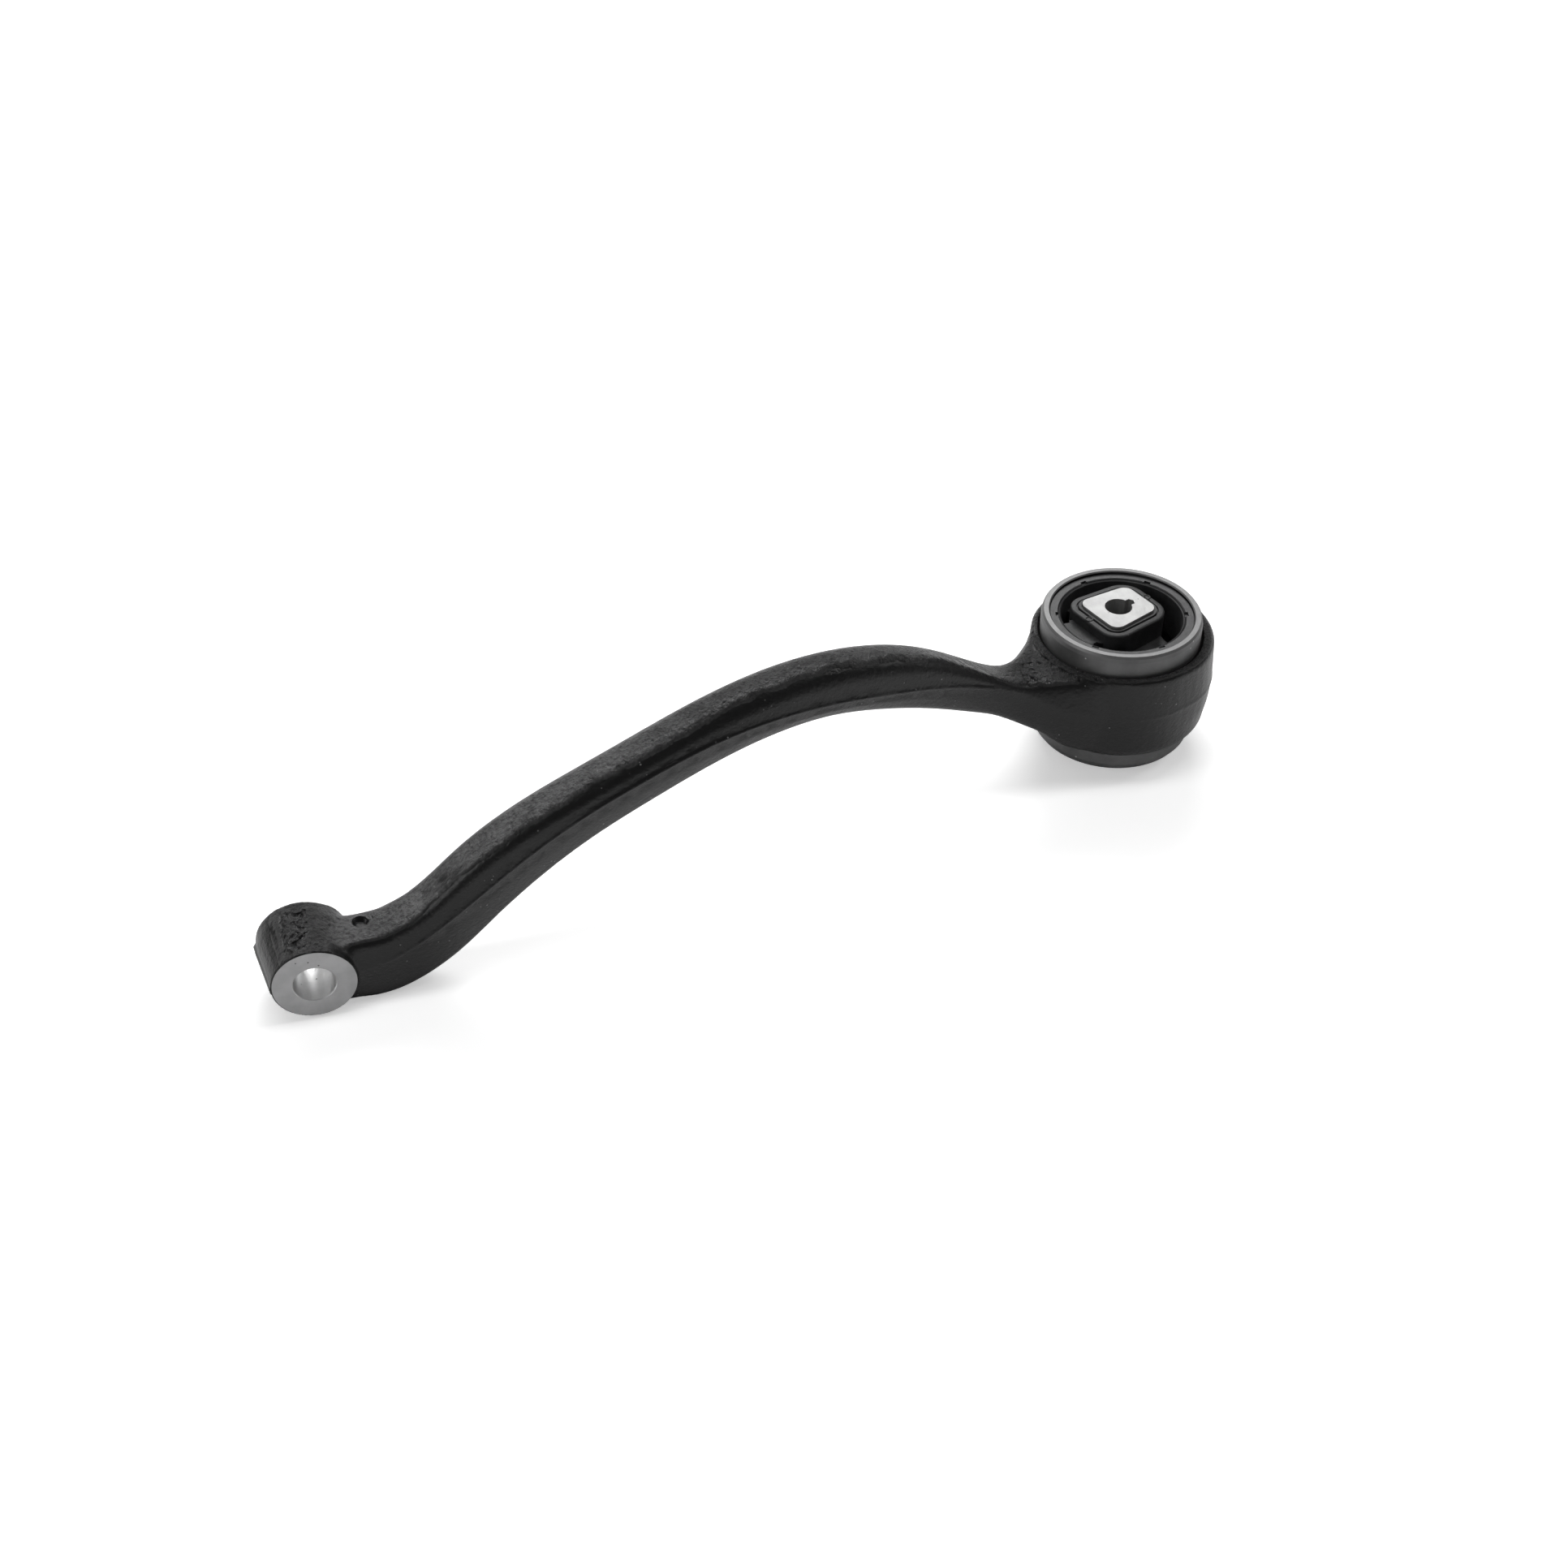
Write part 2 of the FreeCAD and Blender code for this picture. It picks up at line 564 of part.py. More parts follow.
def make_core():
    half = size("core_half_length")
    blank = shaped("core_blank", prism(core_outline(), -half, half))
    bore = cylinder("core_bore_tool", "Sizes.core_bore", "Sizes.core_half_length * 2 + 2", lifted(-half - 1))
    start = size("core_bore") - 1.5
    tip = size("core_bore") + size("key_depth")
    side = size("key_width") / 2
    points = [FreeCAD.Vector(x, y, -half - 1) for x, y in
              ((start, -side), (tip - 1.2, -side), (tip, 0), (tip - 1.2, side), (start, side))]
    key = Part.Face(Part.makePolygon(points + [points[0]])).extrude(FreeCAD.Vector(0, 0, 2 * half + 2))
    core = cut("core", blank, fuse("core_tools", [bore, shaped("core_keyway_tool", key)]))
    core.Placement = core_place()
    return keep(core)


def make_travel_stop():
    """A moulded stop round the middle of the core, which limits its travel inside the sleeve."""
    half = size("stop_half_height")
    solid = prism(stop_outline(), -half, half).cut(prism(core_outline(), -half - 1, half + 1))
    return keep(shaped("travel_stop", solid, core_place()))


def make_rubber_spring():
    """One moulding: a collar on the core, two legs to the cage and a dished skirt at each end."""
    to_bush = FreeCAD.Vector(size("core_offset"), 0, 0)
    collar = prism(core_outline(size("collar_width")), -size("collar_half_length"),
                   size("collar_half_length"))
    half = size("leg_half_height")
    width = size("leg_half_width")
    leg = Part.makeBox(2 * width, 2 * size("leg_reach"), 2 * half,
                       FreeCAD.Vector(-width, -size("leg_reach"), -half) + to_bush)
    pieces = [leg]
    wall = size("skirt_wall")
    radius = size("skirt_radius")
    depth = size("skirt_top") - size("skirt_floor")
    for up in (1, -1):
        low = size("skirt_floor") if up > 0 else -size("skirt_top")
        skirt = Part.makeCylinder(radius, depth, FreeCAD.Vector(0, 0, low) + to_bush)
        pit = Part.makeCylinder(radius - wall, depth, FreeCAD.Vector(0, 0, low + up * wall) + to_bush)
        pieces.append(skirt.cut(pit))
    rubber = collar.multiFuse(pieces)
    outside = Part.makeCylinder(80, 160, FreeCAD.Vector(0, 0, -80) + to_bush)
    hollow = Part.makeCylinder(size("column_inner"), 160, FreeCAD.Vector(0, 0, -80) + to_bush)
    half = size("stop_half_height")
    for tool in (prism(core_outline(), -60, 60), prism(stop_outline(), -half, half), outside.cut(hollow)):
        rubber = rubber.cut(tool)
    return keep(shaped("rubber_spring", rubber.removeSplitter(), core_place()))


# ---------------------------------------------------------------- build, check, export
PARTS = []
make_arm_forging()
make_outer_sleeve()
make_window_cage()
make_channel_shell("channel_shell_inboard", 180)
make_channel_shell("channel_shell_outboard", 0)
make_core()
make_travel_stop()
make_rubber_spring()
DOC.recompute()

for thing in DOC.Objects:
    if "Invalid" in thing.State or "Error" in thing.State:
        raise RuntimeError("%s: %s" % (thing.Label, thing.State))
os.makedirs("parts", exist_ok=True)
for part in PARTS:
    solids = len(part.Shape.Solids)
    if part.Shape.isNull() or not part.Shape.isValid() or solids != 1:
        raise RuntimeError("%s is not one valid solid: %d" % (part.Label, solids))
    part.Shape.exportStep("parts/%s.step" % part.Label)
    limits = part.Shape.BoundBox
    print("%-24s %9.1f mm3   X %.1f..%.1f  Y %.1f..%.1f  Z %.1f..%.1f" % (
        part.Label, part.Shape.Volume, limits.XMin, limits.XMax, limits.YMin, limits.YMax,
        limits.ZMin, limits.ZMax))
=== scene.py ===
# %% [markdown]
# # A suspension control arm
# The arm is one curved steel forging. A tapered eye at its low end takes a ball joint, and a
# rubber bushing is pressed into the round housing at its other end. The engineering model is
# loaded first and stays where it is. This lesson adds the light, the finishes and finer rubber,
# and softens the forging where its two ends begin.

# %% Load the engineering model
import bpy
import bmesh
import math
from mathutils import Matrix, Vector, noise


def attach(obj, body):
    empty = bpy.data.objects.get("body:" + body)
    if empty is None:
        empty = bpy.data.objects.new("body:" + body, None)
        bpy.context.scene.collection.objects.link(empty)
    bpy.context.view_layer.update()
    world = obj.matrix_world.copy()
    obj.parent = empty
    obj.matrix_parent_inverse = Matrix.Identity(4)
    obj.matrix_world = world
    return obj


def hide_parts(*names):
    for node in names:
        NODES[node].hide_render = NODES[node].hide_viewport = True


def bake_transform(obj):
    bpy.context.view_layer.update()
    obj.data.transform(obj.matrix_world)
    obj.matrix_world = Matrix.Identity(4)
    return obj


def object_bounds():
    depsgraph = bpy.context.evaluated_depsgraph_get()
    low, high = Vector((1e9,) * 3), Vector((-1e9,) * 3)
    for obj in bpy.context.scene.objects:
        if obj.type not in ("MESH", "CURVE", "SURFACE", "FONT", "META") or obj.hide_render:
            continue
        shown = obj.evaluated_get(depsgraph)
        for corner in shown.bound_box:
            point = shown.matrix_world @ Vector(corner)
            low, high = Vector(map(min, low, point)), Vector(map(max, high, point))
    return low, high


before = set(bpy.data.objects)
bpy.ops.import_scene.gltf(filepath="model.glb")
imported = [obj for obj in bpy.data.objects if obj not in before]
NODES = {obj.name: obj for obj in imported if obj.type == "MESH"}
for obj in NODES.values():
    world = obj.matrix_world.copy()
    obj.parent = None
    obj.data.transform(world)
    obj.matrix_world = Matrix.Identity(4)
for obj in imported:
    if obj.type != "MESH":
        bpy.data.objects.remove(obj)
cad_box = [list(corner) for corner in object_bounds()]
print("nodes:", sorted(NODES), "box:", cad_box)

# %% [markdown]
# ## Where the bushing stands
# The bushing core turns about the vertical line through the origin. The core's outline is square
# to the arm's last stretch, which heads 19.3 degrees away from the X axis. The steel sleeve is
# 3 mm off the core's centre along that heading, so it has an axis of its own.

# %% The bushing's own directions
MM = 0.001
HEADING = math.radians(19.3)
TURN = Matrix.Rotation(HEADING, 4, "Z")
OFF_CENTRE = 3.0


def mm(*values):
    return Vector([v * MM for v in values])


SLEEVE = TURN @ mm(OFF_CENTRE, 0, 0)
print("sleeve axis at", [round(v / MM, 2) for v in SLEEVE])

# %% [markdown]
# ## The camera
# A 50 mm lens about a metre away looks down on the arm at 39 degrees. The arm's length then
# runs from the low left to the high right of a square picture.

# %% Camera
camera_data = bpy.data.cameras.new("studio_camera")
camera_data.lens = 50
camera_data.sensor_width = 36
camera = bpy.data.objects.new("studio_camera", camera_data)
bpy.context.scene.collection.objects.link(camera)
camera.location = mm(-385.3, -817.0, 653.5)
LOOK = Vector((0.1963, 0.7481, -0.6339))
camera.rotation_euler = LOOK.to_track_quat("-Z", "Y").to_euler()
bpy.context.scene.camera = camera
print("camera at", list(camera.location))

# %% [markdown]
# ## The light
# Black paint shows its shape only by what it reflects. A wide soft light stands behind, where
# level faces mirror it to the camera, so the tops shine and the near sides stay dark. A wider
# one behind it keeps the shadows soft. A narrow one overhead draws a streak along the arm's
# rounded edge, a weak one fills the left, and a strip lights the housing's lip from the right.

# %% Lights and world
scene = bpy.context.scene
scene.view_settings.view_transform = "Standard"
world = bpy.data.worlds.new("studio_air")
world.use_nodes = True
air = world.node_tree.nodes["Background"]
air.inputs["Color"].default_value = (1, 1, 1, 1)
air.inputs["Strength"].default_value = 0.105
scene.world = world


def softbox(name, place, aim, size, power):
    light = bpy.data.lights.new(name, "AREA")
    light.shape = "RECTANGLE"
    light.size, light.size_y = size
    light.energy = power
    lamp = bpy.data.objects.new(name, light)
    scene.collection.objects.link(lamp)
    lamp.location = place
    lamp.rotation_euler = (Vector(aim) - Vector(place)).to_track_quat("-Z", "Y").to_euler()
    print(name, "power", power)


softbox("back_light", (0.25, 1.65, 1.42), (-0.15, 0, 0), (1.5, 0.8), 25)
softbox("back_fill", (-0.5, 2.2, 1.7), (-0.2, 0, 0), (3.4, 1.8), 24)
softbox("right_strip", (1.15, -0.15, 1.15), (0, 0, 0), (0.2, 0.7), 4)
softbox("top_light", (-0.2, 0.0, 1.8), (-0.2, 0.0, 0), (1.7, 0.4), 11)
softbox("left_light", (-1.9, -0.4, 1.0), (-0.25, 0, 0), (1.0, 1.0), 8)

# %% [markdown]
# ## The floor
# The arm rests on plain pale paper, a flat sheet just under the lowest point. Its glow is seen
# by the camera only, so the black coat doesn't mirror it.

# %% Floor
FLOOR_GAP = 0.2 * MM
PAPER_GLOW = 0.45
floor_mesh = bpy.data.meshes.new("paper_floor")
shape = bmesh.new()
bmesh.ops.create_grid(shape, x_segments=1, y_segments=1, size=6)
bmesh.ops.translate(shape, verts=shape.verts, vec=(0, 0, cad_box[0][2] - FLOOR_GAP))
shape.to_mesh(floor_mesh)
shape.free()
floor = bpy.data.objects.new("paper_floor", floor_mesh)
scene.collection.objects.link(floor)
paper = bpy.data.materials.new("pale_paper")
paper.use_nodes = True
paper_shader = paper.node_tree.nodes["Principled BSDF"]
paper_shader.inputs["Base Color"].default_value = (0.9, 0.9, 0.9, 1)
paper_shader.inputs["Roughness"].default_value = 0.9
paper_shader.inputs["Specular IOR Level"].default_value = 0.1
paper_shader.inputs["Emission Color"].default_value = (1, 1, 1, 1)
seen = paper.node_tree.nodes.new("ShaderNodeLightPath")
glow = paper.node_tree.nodes.new("ShaderNodeMath")
glow.operation = "MULTIPLY"
glow.inputs[1].default_value = PAPER_GLOW
paper.node_tree.links.new(seen.outputs["Is Camera Ray"], glow.inputs[0])
paper.node_tree.links.new(glow.outputs[0], paper_shader.inputs["Emission Strength"])
floor_mesh.materials.append(paper)
print("floor at", round(cad_box[0][2] / MM, 2), "mm")

# %% [markdown]
# ## Node helpers
# Every finish below is a small node tree. These helpers add a node, join two sockets and ease a
# value from one span to another, so each recipe reads like a list of what the surface does.

# %% Node helpers


class Recipe:
    """Adds nodes to one tree and joins them."""

    def __init__(self, tree):
        self.tree = tree

    def add(self, kind, inputs=None, **settings):
        node = self.tree.nodes.new(kind)
        for key, value in settings.items():
            setattr(node, key, value)
        for key, value in (inputs or {}).items():
            self.feed(node.inputs[key], value)
        return node

    def feed(self, socket, value):
        if isinstance(value, bpy.types.NodeSocket):
            self.tree.links.new(value, socket)
        else:
            socket.default_value = value

    def math(self, operation, first, second=0.0, third=0.0):
        node = self.add("ShaderNodeMath", operation=operation)
        for socket, value in zip(node.inputs, (first, second, third)):
            self.feed(socket, value)
        return node.outputs[0]

    def span(self, value, low, high, new_low=0.0, new_high=1.0):
        node = self.add("ShaderNodeMapRange", {"Value": value, "From Min": low, "From Max": high,
                                               "To Min": new_low, "To Max": new_high})
        node.interpolation_type = "SMOOTHSTEP"
        return node.outputs["Result"]

    def blend(self, share, first, second):
        node = self.add("ShaderNodeMix", data_type="RGBA")
        self.feed(node.inputs["Factor"], share)
        self.feed(node.inputs["A"], first)
        self.feed(node.inputs["B"], second)
        return node.outputs["Result"]

    def noise(self, place, scale, detail=3.0, rough=0.55):
        node = self.add("ShaderNodeTexNoise", {"Vector": place, "Scale": scale, "Detail": detail,
                                               "Roughness": rough})
        return node.outputs["Fac"]


def make_group(name, inputs, outputs, body):
    """Builds a shader group whose inputs and outputs are plain numbers or vectors."""
    tree = bpy.data.node_groups.new(name, "ShaderNodeTree")
    for label, kind, value in inputs:
        socket = tree.interface.new_socket(label, in_out="INPUT", socket_type=kind)
        if value is not None:
            socket.default_value = value
    for label, kind in outputs:
        tree.interface.new_socket(label, in_out="OUTPUT", socket_type=kind)
    entry = tree.nodes.new("NodeGroupInput")
    leave = tree.nodes.new("NodeGroupOutput")
    results = body(Recipe(tree), entry.outputs)
    for label, _ in outputs:
        tree.links.new(results[label], leave.inputs[label])
    print("group", name, "with", len(tree.nodes), "nodes")
    return tree


# %% [markdown]
# ## Shared effect: a forged skin
# Hot scale pressed between the dies leaves a pebbled skin. Two sizes of soft lumps and a
# sprinkle of small pits give its height. The lumps' tops are marked for a coat's painted highlight.

# %% Forged skin group


def forged_skin(recipe, sockets):
    place = sockets["Place"]
    lumps = recipe.noise(place, 480.0, 4.0, 0.65)
    waves = recipe.noise(place, 95.0, 3.0, 0.5)
    cells = recipe.add("ShaderNodeTexVoronoi", {"Vector": place, "Scale": 230.0})
    pits = recipe.span(cells.outputs["Distance"], 0.0, 0.28)
    height = recipe.math("MULTIPLY_ADD", lumps, 1.0, recipe.math("MULTIPLY", waves, 0.5))
    height = recipe.math("MULTIPLY_ADD", pits, 0.25, height)
    # Tops marks the lumps' tops, where a coat paints a highlight.
    return {"Height": height, "Tops": recipe.span(height, 0.78, 1.15)}


FORGED_SKIN = make_group(
    "forged_skin", [("Place", "NodeSocketVector", None)],
    [("Height", "NodeSocketFloat"), ("Tops", "NodeSocketFloat")], forged_skin)

# %% [markdown]
# ## Shared effect: specks
# Handling leaves tiny nicks and dust. Each speck is the middle of a scattered cell, and a slow
# noise keeps whole areas free of them.

# %% Speck group


def specks(recipe, sockets):
    cells = recipe.add("ShaderNodeTexVoronoi", {"Vector": sockets["Place"], "Scale": sockets["Scale"],
                                                "Randomness": 1.0})
    near = recipe.math("LESS_THAN", cells.outputs["Distance"], sockets["Size"])
    areas = recipe.span(recipe.noise(sockets["Place"], 60.0, 2.0), 0.52, 0.62)
    return {"Specks": recipe.math("MULTIPLY", near, areas)}


SPECKS = make_group(
    "specks", [("Place", "NodeSocketVector", None), ("Scale", "NodeSocketFloat", 200.0),
               ("Size", "NodeSocketFloat", 0.12)],
    [("Specks", "NodeSocketFloat")], specks)

# %% [markdown]
# ## Shared effect: drawn or brushed grain
# A tool drawn across metal leaves streaks far longer than they are wide. The place is scaled up
# less along one direction before the noise reads it, so the streaks run long that way.

# %% Grain group


def grain(recipe, sockets):
    squeezed = recipe.add("ShaderNodeVectorMath", {0: sockets["Place"], 1: sockets["Stretch"]},
                          operation="MULTIPLY")
    fine = recipe.noise(squeezed.outputs["Vector"], 1.0, 4.0, 0.65)
    return {"Grain": fine}


GRAIN = make_group(
    "grain", [("Place", "NodeSocketVector", None), ("Stretch", "NodeSocketVector", (900, 900, 90))],
    [("Grain", "NodeSocketFloat")], grain)

# %% [markdown]
# ## Starting a finish
# Each finish is one Principled shader with its place read from Object coordinates, so a pattern
# stays on its piece when the bushing turns. A height becomes a bump in the last helper.

# %% Finish starter


def start_finish(name):
    material = bpy.data.materials.new(name)
    material.use_nodes = True
    recipe = Recipe(material.node_tree)
    shader = material.node_tree.nodes["Principled BSDF"]
    place = recipe.add("ShaderNodeTexCoord")
    return material, recipe, shader, place


def use_group(recipe, tree, **inputs):
    node = recipe.add("ShaderNodeGroup", node_tree=tree)
    for key, value in inputs.items():
        recipe.feed(node.inputs[key], value)
    return node.outputs


def bumped(recipe, shader, height, distance):
    bump = recipe.add("ShaderNodeBump", {"Height": height, "Distance": distance, "Strength": 1.0})
    recipe.feed(shader.inputs["Normal"], bump.outputs["Normal"])


# %% [markdown]
# ## Finish: black dip coat over the forging
# The coat is thin and even, so the forged skin shows through. The tops of the arm met the die
# flat and kept the coarse skin, while the sides slid along the die and came out smooth. The
# object's own upward direction tells the two apart. The tops are also painted grey, a painted
# sheen for the back light's reflection, strongest just past the eye and fading over the crest and
# again at the neck. The lumps' tops get a paler painted highlight, and faces turned down are
# painted a little lighter, a painted bounce light from the floor.

# %% Dip coat


def dip_coat():
    # The second black, a little lighter, is painted bounce light for faces turned down.
    side_black, painted_bounce_grey = (0.004, 0.004, 0.0041, 1), (0.012, 0.012, 0.0122, 1)
    # The top grey is a painted sheen, and the pale grey a painted highlight on the lumps' tops.
    painted_sheen_grey, painted_lump_highlight = (0.046, 0.046, 0.047, 1), (0.17, 0.17, 0.171, 1)
    dust_grey = (0.3, 0.3, 0.3, 1)
    material, recipe, shader, place = start_finish("black_dip_coat")
    spot = place.outputs["Object"]
    parts = recipe.add("ShaderNodeSeparateXYZ", {"Vector": place.outputs["Normal"]})
    skin = use_group(recipe, FORGED_SKIN, Place=spot)
    blotch = recipe.noise(spot, 70.0, 3.0)
    upward = recipe.math("ADD", parts.outputs["Z"], recipe.math("MULTIPLY_ADD", blotch, 0.36, -0.18))
    flat_top = recipe.span(upward, 0.72, 0.93)
    along = recipe.add("ShaderNodeSeparateXYZ", {"Vector": spot}).outputs["X"]
    past_eye = recipe.span(along, -0.404, -0.394, 0.35, 1.0)
    crest = recipe.span(along, -0.29, -0.22, 1.0, 0.45)
    neck = recipe.span(along, -0.12, -0.085, 1.0, 0.4)
    # The painted sheen's share: faces turned up, strongest just past the eye.
    painted_sheen_share = recipe.math("MULTIPLY", flat_top, recipe.math("MULTIPLY", past_eye, crest))
    painted_sheen_share = recipe.math("MULTIPLY", painted_sheen_share, neck)
    # Faces turned down get the painted bounce light.
    painted_bounce_share = recipe.span(parts.outputs["Z"], -0.2, -0.75)
    shade = recipe.blend(painted_sheen_share, side_black, painted_sheen_grey)
    # The lumps' tops on the sheen get a paler painted highlight.
    shade = recipe.blend(recipe.math("MULTIPLY", skin["Tops"], recipe.math("MULTIPLY", painted_sheen_share, 0.7)),
                         shade, painted_lump_highlight)
    shade = recipe.blend(recipe.math("MULTIPLY", painted_bounce_share, 0.6), shade, painted_bounce_grey)
    dust = use_group(recipe, SPECKS, Place=spot, Scale=260.0, Size=0.11)
    shade = recipe.blend(recipe.math("MULTIPLY", dust["Specks"], 0.5), shade, dust_grey)
    recipe.feed(shader.inputs["Base Color"], shade)
    rough = recipe.math("MULTIPLY_ADD", painted_sheen_share, 0.08, 0.26)
    recipe.feed(shader.inputs["Roughness"], recipe.math("MULTIPLY_ADD", blotch, 0.10, rough))
    depth = recipe.math("MULTIPLY_ADD", flat_top, 0.9, 0.1)
    shader.inputs["Specular IOR Level"].default_value = 0.45
    bumped(recipe, shader, recipe.math("MULTIPLY", skin["Height"], depth), 0.0036)
    return material


COAT = dip_coat()
print("finish", COAT.name)

# %% [markdown]
# ## Finish: machined metal
# The eye's front face and its tapered bore are cut after the coat is on, so they are bare steel.
# The face is satin with a few pits, and the bore is turned, with fine rings along its length.
# The same recipe in a darker tone makes the bushing's core.

# %% Machined metal


def machined(name, tone, roughness, stretch):
    material, recipe, shader, place = start_finish(name)
    spot = place.outputs["Object"]
    lines = use_group(recipe, GRAIN, Place=spot, Stretch=stretch)
    pits = use_group(recipe, SPECKS, Place=spot, Scale=300.0, Size=0.13)
    cloud = recipe.noise(spot, 120.0, 3.0)
    paler = tuple(min(1.0, c * 1.18) for c in tone) + (1,)
    pit_black = (0.04, 0.04, 0.04, 1)
    shade = recipe.blend(recipe.span(cloud, 0.3, 0.7), tone + (1,), paler)
    shade = recipe.blend(recipe.math("MULTIPLY", pits["Specks"], 0.75), shade, pit_black)
    recipe.feed(shader.inputs["Base Color"], shade)
    shader.inputs["Metallic"].default_value = 0.75
    recipe.feed(shader.inputs["Roughness"],
                recipe.math("MULTIPLY_ADD", lines["Grain"], 0.16, roughness - 0.08))
    bumped(recipe, shader, lines["Grain"], 0.00012)
    return material


EYE_FACE = machined("machined_eye_face", (0.45, 0.45, 0.455), 0.52, (260, 900, 900))
EYE_BORE = machined("turned_eye_bore", (0.66, 0.66, 0.66), 0.34, (160, 2600, 160))
CORE_METAL = machined("machined_core", (0.33, 0.33, 0.328), 0.5, (900, 260, 900))
print("finishes", EYE_FACE.name, EYE_BORE.name, CORE_METAL.name)

# %% [markdown]
# ## Finish: drawn steel tube
# The bushing's sleeve is a piece of drawn tube with a dull grey surface. Its top edge is rolled
# over, and a painted highlight lightens the finish with height near the rim.

# %% Sleeve steel


def sleeve_steel():
    dull, paler = (0.115, 0.115, 0.116, 1), (0.150, 0.150, 0.151, 1)
    # The rim grey is a painted highlight on the rolled rim.
    streak_grey, painted_rim_highlight = (0.20, 0.20, 0.20, 1), (0.17, 0.17, 0.17, 1)
    nick_white = (0.6, 0.6, 0.6, 1)
    material, recipe, shader, place = start_finish("drawn_sleeve_steel")
    spot = place.outputs["Object"]
    parts = recipe.add("ShaderNodeSeparateXYZ", {"Vector": spot})
    streaks = use_group(recipe, GRAIN, Place=spot, Stretch=(520, 520, 40))
    nicks = use_group(recipe, SPECKS, Place=spot, Scale=210.0, Size=0.10)
    cloud = recipe.noise(spot, 80.0, 3.0)
    # The rim band is where the painted highlight lightens with height.
    rim = recipe.span(parts.outputs["Z"], 0.0328, 0.0346)
    shade = recipe.blend(recipe.span(cloud, 0.3, 0.7), dull, paler)
    shade = recipe.blend(recipe.math("MULTIPLY", streaks["Grain"], 0.25), shade, streak_grey)
    shade = recipe.blend(recipe.math("MULTIPLY", rim, 0.85), shade, painted_rim_highlight)
    shade = recipe.blend(recipe.math("MULTIPLY", nicks["Specks"], 0.6), shade, nick_white)
    recipe.feed(shader.inputs["Base Color"], shade)
    shader.inputs["Metallic"].default_value = 0.55
    recipe.feed(shader.inputs["Roughness"],
                recipe.math("MULTIPLY_ADD", streaks["Grain"], 0.15, 0.38))
    bumped(recipe, shader, streaks["Grain"], 0.0001)
    return material


SLEEVE_STEEL = sleeve_steel()
print("finish", SLEEVE_STEEL.name)

# %% [markdown]
# ## Finish: moulded black
# Rubber and plastic here are both nearly black. Rubber has a soft bloom and a fine matt texture,
# and the cage's plastic is a little shinier, so one recipe makes both with different numbers.

# %% Moulded blacks


def moulded(name, dark, bloom, roughness, texture):
    dust_grey = (0.2, 0.2, 0.2, 1)
    material, recipe, shader, place = start_finish(name)
    spot = place.outputs["Object"]
    cloud = recipe.noise(spot, 110.0, 4.0, 0.6)
    fine = recipe.noise(spot, texture, 3.0, 0.6)
    dust = use_group(recipe, SPECKS, Place=spot, Scale=330.0, Size=0.09)
    shade = recipe.blend(recipe.span(cloud, 0.35, 0.75), dark, bloom)
    shade = recipe.blend(recipe.math("MULTIPLY", dust["Specks"], 0.35), shade, dust_grey)
    recipe.feed(shader.inputs["Base Color"], shade)
    recipe.feed(shader.inputs["Roughness"], recipe.math("MULTIPLY_ADD", fine, 0.16, roughness - 0.08))
    shader.inputs["Specular IOR Level"].default_value = 0.3
    bumped(recipe, shader, fine, 0.00012)
    return material


RUBBER = moulded("moulded_rubber", (0.012, 0.012, 0.0125, 1), (0.026, 0.026, 0.027, 1), 0.48, 900.0)
CAGE_BLACK = moulded("cage_moulding", (0.020, 0.020, 0.021, 1), (0.034, 0.034, 0.035, 1), 0.42, 700.0)
HIDDEN_BLACK = moulded("hidden_moulding", (0.03, 0.03, 0.03, 1), (0.05, 0.05, 0.05, 1), 0.5, 500.0)
print("finishes", RUBBER.name, CAGE_BLACK.name, HIDDEN_BLACK.name)

# %% [markdown]
# ## Making a piece
# New pieces are built in a bmesh and put straight into the scene with their place in the mesh.
# Round ones start as a closed outline, which is spun one full turn.

# %% Piece helpers
ROUND_STEPS = 120
SAME_POINT = 0.005 * MM


def closed_outline(places):
    shape = bmesh.new()
    points = [shape.verts.new(place) for place in places]
    for index, point in enumerate(points):
        shape.edges.new((points[index - 1], point))
    return shape


def spin_once(shape, axis, steps):
    """Spins all of a shape one full turn about an axis through the origin."""
    bmesh.ops.spin(shape, geom=shape.verts[:] + shape.edges[:], cent=(0, 0, 0), axis=axis,
                   dvec=(0, 0, 0), angle=2 * math.pi, steps=steps, use_merge=True)


def finish_piece(name, shape, material, sharp=38):
    bmesh.ops.remove_doubles(shape, verts=shape.verts, dist=SAME_POINT)
    bmesh.ops.recalc_face_normals(shape, faces=shape.faces)
    mesh = bpy.data.meshes.new(name)
    shape.to_mesh(mesh)
    shape.free()
    mesh.materials.append(material)
    mesh.shade_smooth()
    mesh.set_sharp_from_angle(angle=math.radians(sharp))
    piece = bpy.data.objects.new(name, mesh)
    scene.collection.objects.link(piece)
    print(name, "has", len(mesh.polygons), "faces")
    return piece


# %% [markdown]
# ## Softening the two ends
# Where the arm runs into the housing, and where it meets the eye, the real forging flows in one
# soft valley. The engineering model has a crease there. So the forging is shown as three meshes
# cut from copies of it. The middle stays as it is. Each end is rebuilt from small even squares,
# smoothed, and only then cut to length, so its cut edge stays crisp.

# %% Cut the forging
NECK_CUT = SLEEVE + TURN @ mm(-88, 0, 0)
ALONG = TURN @ Vector((1, 0, 0))
EYE = mm(-411.0, -104.6, -19.5)
EYE_CUT = mm(-364, 0, 0)
AHEAD = Vector((1, 0, 0))
SPARE = 9 * MM


def forging_copy():
    shape = bmesh.new()
    shape.from_mesh(NODES["arm_forging"].data)
    bmesh.ops.remove_doubles(shape, verts=shape.verts, dist=2 * SAME_POINT)
    return shape


